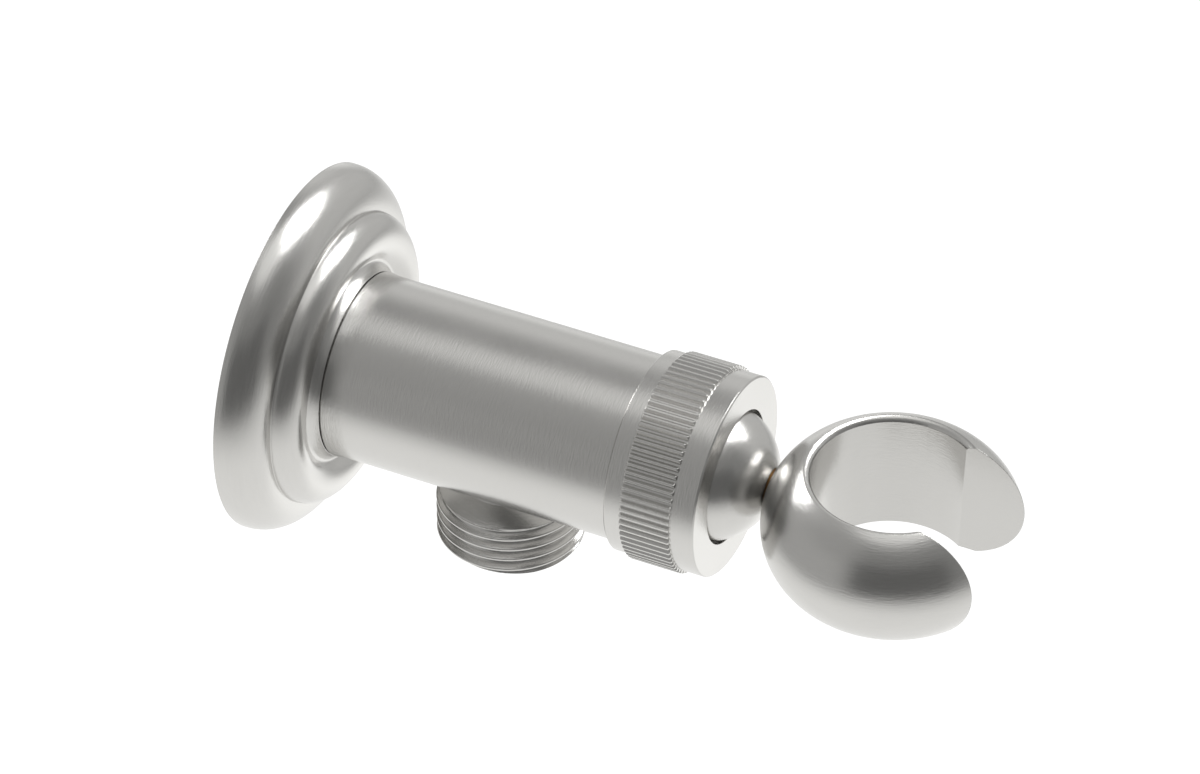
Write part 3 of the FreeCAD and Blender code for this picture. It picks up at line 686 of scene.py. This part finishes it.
def draw_in_flare(shape):
    """Gives the rear end of the body a shorter flare, which carries on the flange's cove."""

    def in_flare(vertex):
        radius, along = math.hypot(vertex.co.x, vertex.co.z), -vertex.co.y
        return (abs(radius - BODY_RADIUS - FLARE_RISE / 2) < FLARE_RISE / 2 + SLACK
                and BODY_REAR - SLACK < along < CAD_FLARE_END + SLACK)

    rising = [edge for edge in shape.edges if all(in_flare(vertex) for vertex in edge.verts)
              and abs(edge.verts[0].co.y - edge.verts[1].co.y) > SLACK]
    bmesh.ops.subdivide_edges(shape, edges=rising, cuts=FLARE_CUTS)
    for vertex in shape.verts:
        if in_flare(vertex):
            share = max(0.0, 1.0 + (BODY_REAR + vertex.co.y) / FLARE_LENGTH)
            wanted = BODY_RADIUS + FLARE_RISE * share * share
            grown = wanted / math.hypot(vertex.co.x, vertex.co.z)
            vertex.co.x *= grown
            vertex.co.z *= grown


threaded_piece(
    "threaded_body", "holder_body", BODY_CENTRE, BODY_AXIS,
    drop=inlet_wall,
    walls=dict(point=inlet_point, near=0.0, far=INLET_THREAD_END, start=INLET_CREST,
               phase=0.0, radius=INLET_RADIUS, trim=inlet_trim, inward=True),
    rims=((SPIGOT_RADIUS, 0.0), (INLET_RADIUS, -INLET_DEPTH)),
    reshape=draw_in_flare,
)


# ---------------------------------------------------------------- wall flange

# Sizes of the turned flange in millimetres, as (radius, height) off the wall. A bead is an
# arc, with its centre and its own radius. Tilts are in degrees, 0 facing outwards and 90
# forwards, and give the start and the end of an arc.
FLANGE_RIM = [(26.28, 0.0), (26.28, 0.6)]
OUTER_BEAD = ((20.687, 0.375), 5.599)
OUTER_TILTS = (2.3, 87.1)
INNER_BEAD = ((17.57, 5.95), 3.4)
INNER_TILTS = (0.3, 130.0)
# The length of the slope after the inner bead, then the cove's arcs: radius, start and end.
INNER_SLOPE = 0.876
COVE_ARCS = ((0.5355, 130.0, 40.0), (3.2, 40.0, 12.0))
# The hidden rear: bore, seal groove, hollow behind the beads and the seat of the gasket.
FLANGE_REAR = [
    (12.15, 9.4), (12.15, 6.2), (13.9, 6.2), (13.9, 3.8), (12.15, 3.8), (12.15, 2.4),
    (15.4, 2.4), (15.4, 6.4), (18.4, 6.4), (19.6, 3.9), (22.6, 3.9), (24.2, 2.2),
    (24.2, 1.5), (25.2, 1.5), (25.2, 0.0),
]
FLANGE_COLUMNS = 288
FLANGE_SHARP = math.radians(25)
ARC_STEP = 4.0


def arc_points(centre, radius, start, stop):
    """Points of an arc between two tilts."""
    count = max(2, math.ceil(abs(stop - start) / ARC_STEP))
    points = []
    for index in range(count + 1):
        tilt = math.radians(start + (stop - start) * index / count)
        points.append((centre[0] + radius * math.cos(tilt),
                       centre[1] + radius * math.sin(tilt)))
    return points


def flange_outline():
    """The closed half section of the flange: its front from the wall in, then its rear."""
    front = FLANGE_RIM + arc_points(*OUTER_BEAD, *OUTER_TILTS)[1:]
    front += arc_points(*INNER_BEAD, *INNER_TILTS)
    slope = math.radians(INNER_TILTS[1])
    end = front[-1]
    front.append((end[0] - INNER_SLOPE * math.sin(slope),
                  end[1] + INNER_SLOPE * math.cos(slope)))
    for radius, start, stop in COVE_ARCS:
        end = front[-1]
        tilt = math.radians(start)
        centre = (end[0] + radius * math.cos(tilt), end[1] + radius * math.sin(tilt))
        hollow = [(2 * centre[0] - x, 2 * centre[1] - y)
                  for x, y in arc_points(centre, radius, start, stop)]
        front += hollow[1:]
    return front + FLANGE_REAR


def make_flange():
    """The turned flange: two beads that meet in a sharp crease, and a cove up to the seam."""
    mesh = bpy.data.meshes.new("turned_flange")
    shape = bmesh.new()
    rings = []
    for radius, height in flange_outline():
        ring = []
        for column in range(FLANGE_COLUMNS):
            angle = 2 * math.pi * column / FLANGE_COLUMNS
            ring.append(shape.verts.new((radius * MM * math.cos(angle), -height * MM,
                                         radius * MM * math.sin(angle))))
        rings.append(ring)
    for low, high in zip(rings, rings[1:] + rings[:1]):
        for column in range(FLANGE_COLUMNS):
            beside = (column + 1) % FLANGE_COLUMNS
            shape.faces.new((low[column], low[beside], high[beside], high[column]))
    write_mesh(shape, mesh, FLANGE_SHARP)
    piece = add_piece("turned_flange", mesh, "wall_flange")
    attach(piece, "holder")
    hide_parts("wall_flange")


make_flange()


# ---------------------------------------------------------------- valve spring


def make_valve_spring():
    """The poppet's spring, copied as it stands in the CAD; the real one shortens against its
    guide as the valve opens.
    """
    mesh, shape = welded_copy("closing_spring", "valve_spring")
    shape.to_mesh(mesh)
    shape.free()
    piece = add_piece("closing_spring", mesh, "valve_spring")
    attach(piece, "holder")
    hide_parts("valve_spring")
    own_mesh(piece)


make_valve_spring()


# ---------------------------------------------------------------- studio

STUDIO_MIDDLE = Vector((0.0, -0.05, 0.0))
BACKDROP_STRENGTH = 1.1
# How much blue the light keeps next to red and green, for a slightly warm white.
WARMTH = 0.985

FLOOR_DEPTH = 0.60
FLOOR_RADIUS = 1.85
# The floor's painted light, a glow of its own: its level in the middle and at the rim, the
# radii between which it falls, and a brighter painted pool of light with its own level,
# centre, inner and outer radius.
FLOOR_LIGHT = {
    "Middle": 0.76, "Rim": 0.30, "Even": 0.65, "Reach": FLOOR_RADIUS,
    "Pool": 0.24, "Pool Centre": (0.66, -0.24, 0.0), "Pool Inner": 0.20, "Pool Outer": 0.55,
}

# Grey studio walls round the holder: level, then middle, half width and softness in azimuth
# and in elevation, in degrees. Each one covers those before it.
WALLS = (
    (0.405, (-124, 36, 12), (50, 24, 10)),
    (0.34, (122, 20, 9), (54, 11, 6)),
    (0.95, (0, 200, 10), (90, 21, 6)),
    (0.62, (62, 36, 9), (8, 22, 8)),
    (0.72, (114, 14, 8), (18, 14, 9)),
    (0.95, (120, 16, 9), (-14, 14, 7)),
    (0.27, (-44, 60, 16), (24, 36, 12)),
    (0.145, (-60, 41, 9), (11, 23, 9)),
)
WALL_BASE = 0.47

# The camera's place in metres, its turns in degrees, and its lens and sensor in millimetres.
CAMERA_PLACE = (-0.63085, -0.33798, 0.60118)
CAMERA_TURNS = (49.566, 0.0, -65.142)
LENS = 202.19
SENSOR_WIDTH = 36.0


def make_pool_of_light():
    """Painted light on the floor, which glows: even under the holder, falling off outwards,
    with one brighter painted pool of light.
    """
    wiring, given, result = new_group(
        "pool_of_light",
        [("Middle", NUMBER, 1.0), ("Rim", NUMBER, 0.4), ("Even", NUMBER, 0.5),
         ("Reach", NUMBER, 1.8), ("Pool", NUMBER, 0.4), ("Pool Centre", VECTOR, (0, 0, 0)),
         ("Pool Inner", NUMBER, 0.2), ("Pool Outer", NUMBER, 0.5)],
        [("Color", COLOUR)],
    )
    place = wiring.add("ShaderNodeTexCoord").outputs["Object"]
    far = wiring.vectors("LENGTH", place)
    level = wiring.between(far, given["Even"], given["Reach"], given["Middle"], given["Rim"],
                           smooth=False)
    near = wiring.vectors("LENGTH", wiring.vectors("SUBTRACT", place, given["Pool Centre"]))
    pool = wiring.between(near, given["Pool Inner"], given["Pool Outer"], given["Pool"], 0.0)
    light = wiring.scaled((1.0, 1.0, WARMTH), wiring.maths("ADD", level, pool))
    wiring.join(light, result["Color"])
    return wiring.tree


pool_of_light = make_pool_of_light()


def make_floor():
    """A pale disc below the holder that glows with painted light and a painted pool of light:
    pure white to the camera, and clear from below.
    """
    mesh = bpy.data.meshes.new("floor")
    shape = bmesh.new()
    bmesh.ops.create_circle(shape, cap_ends=True, segments=96, radius=FLOOR_RADIUS)
    shape.to_mesh(mesh)
    shape.free()
    floor = add_object("floor", mesh)
    floor.location = STUDIO_MIDDLE - FLOOR_DEPTH * Vector(UPRIGHT)
    material, wiring, shader = start_material("pale_floor")
    patches = use_group(wiring, soft_patches, Size=0.4, Lowest=0.28, Highest=0.32)
    wiring.join(patches.outputs["Value"], shader.inputs["Base Color"])
    # The floor's glow, pool included, is painted light: the floor is no lamp.
    pool = use_group(wiring, pool_of_light, **FLOOR_LIGHT)
    wiring.join(pool.outputs["Color"], shader.inputs["Emission Color"])
    shader.inputs["Emission Strength"].default_value = 1.0
    shader.inputs["Roughness"].default_value = 0.9
    white = wiring.add("ShaderNodeEmission")
    white.inputs["Strength"].default_value = BACKDROP_STRENGTH
    clear = wiring.add("ShaderNodeBsdfTransparent")
    to_camera = wiring.add("ShaderNodeLightPath").outputs["Is Camera Ray"]
    from_below = wiring.add("ShaderNodeNewGeometry").outputs["Backfacing"]
    seen = wiring.either(to_camera, shader.outputs[0], white.outputs[0])
    seen = wiring.either(from_below, seen, clear.outputs[0])
    wiring.join(seen, material.node_tree.nodes["Material Output"].inputs["Surface"])
    mesh.materials.append(material)


def make_studio():
    """The walls of the studio, seen only in reflections; the camera sees plain white."""
    world = bpy.data.worlds.new("studio")
    bpy.context.scene.world = world
    world.use_nodes = True
    world.node_tree.nodes.clear()
    wiring = Wiring(world.node_tree)
    parts = wiring.add("ShaderNodeSeparateXYZ")
    wiring.join(wiring.add("ShaderNodeTexCoord").outputs["Generated"], parts.inputs[0])
    x, y, z = parts.outputs
    turn = wiring.maths("ARCTAN2", x, wiring.maths("MULTIPLY", y, -1.0))
    azimuth = wiring.maths("MULTIPLY", turn, math.degrees(1.0))
    elevation = wiring.maths("MULTIPLY", wiring.maths("ARCSINE", z), math.degrees(1.0))

    def inside(value, middle, half, soft):
        gap = wiring.maths("WRAP", wiring.maths("SUBTRACT", value, middle), 180.0, -180.0)
        off = wiring.maths("ABSOLUTE", gap)
        return wiring.between(off, half - soft, half + soft, 1.0, 0.0)

    def grey(level):
        return (level, level, level * WARMTH, 1.0)

    shade = grey(WALL_BASE)
    for level, across, up in WALLS:
        wall = wiring.maths("MULTIPLY", inside(azimuth, *across), inside(elevation, *up))
        shade = wiring.blend(wall, shade, grey(level))
    walls = wiring.add("ShaderNodeBackground")
    wiring.join(shade, walls.inputs["Color"])
    backdrop = wiring.add("ShaderNodeBackground")
    backdrop.inputs["Color"].default_value = (1.0, 1.0, 1.0, 1.0)
    backdrop.inputs["Strength"].default_value = BACKDROP_STRENGTH
    to_camera = wiring.add("ShaderNodeLightPath").outputs["Is Camera Ray"]
    seen = wiring.either(to_camera, walls.outputs[0], backdrop.outputs[0])
    wiring.join(seen, wiring.add("ShaderNodeOutputWorld").inputs["Surface"])


def direction(azimuth, elevation):
    """Unit vector; azimuth 0 is -Y and 90 is +X, in degrees."""
    turn, rise = math.radians(azimuth), math.radians(elevation)
    return Vector((math.sin(turn) * math.cos(rise), -math.cos(turn) * math.cos(rise),
                   math.sin(rise)))


def make_softbox(name, azimuth, elevation, width, height, distance, brightness):
    """A soft light that spans width and height degrees as seen from the holder."""
    light = bpy.data.lights.new(name, "AREA")
    light.shape = "RECTANGLE"
    light.size = 2 * distance * math.tan(math.radians(width / 2))
    light.size_y = 2 * distance * math.tan(math.radians(height / 2))
    light.energy = brightness * math.pi * light.size * light.size_y
    lamp = add_object(name, light)
    towards = direction(azimuth, elevation)
    lamp.location = towards * distance + STUDIO_MIDDLE
    lamp.rotation_euler = towards.to_track_quat("Z", "Y").to_euler()
    lamp.visible_camera = False


def make_camera():
    data = bpy.data.cameras.new("camera")
    data.lens = LENS
    data.sensor_width = SENSOR_WIDTH
    data.clip_start = 0.05
    data.clip_end = 20.0
    camera = add_object("camera", data)
    camera.location = CAMERA_PLACE
    camera.rotation_euler = Euler([math.radians(angle) for angle in CAMERA_TURNS])
    bpy.context.scene.camera = camera


make_floor()
make_studio()
make_softbox("key_softbox", azimuth=64.0, elevation=54.5, width=30.0, height=40.0,
             distance=1.5, brightness=5.0)
make_softbox("rim_softbox", azimuth=161.0, elevation=30.0, width=19.0, height=16.0,
             distance=1.6, brightness=5.0)
make_camera()
bpy.context.scene.view_settings.view_transform = "Standard"
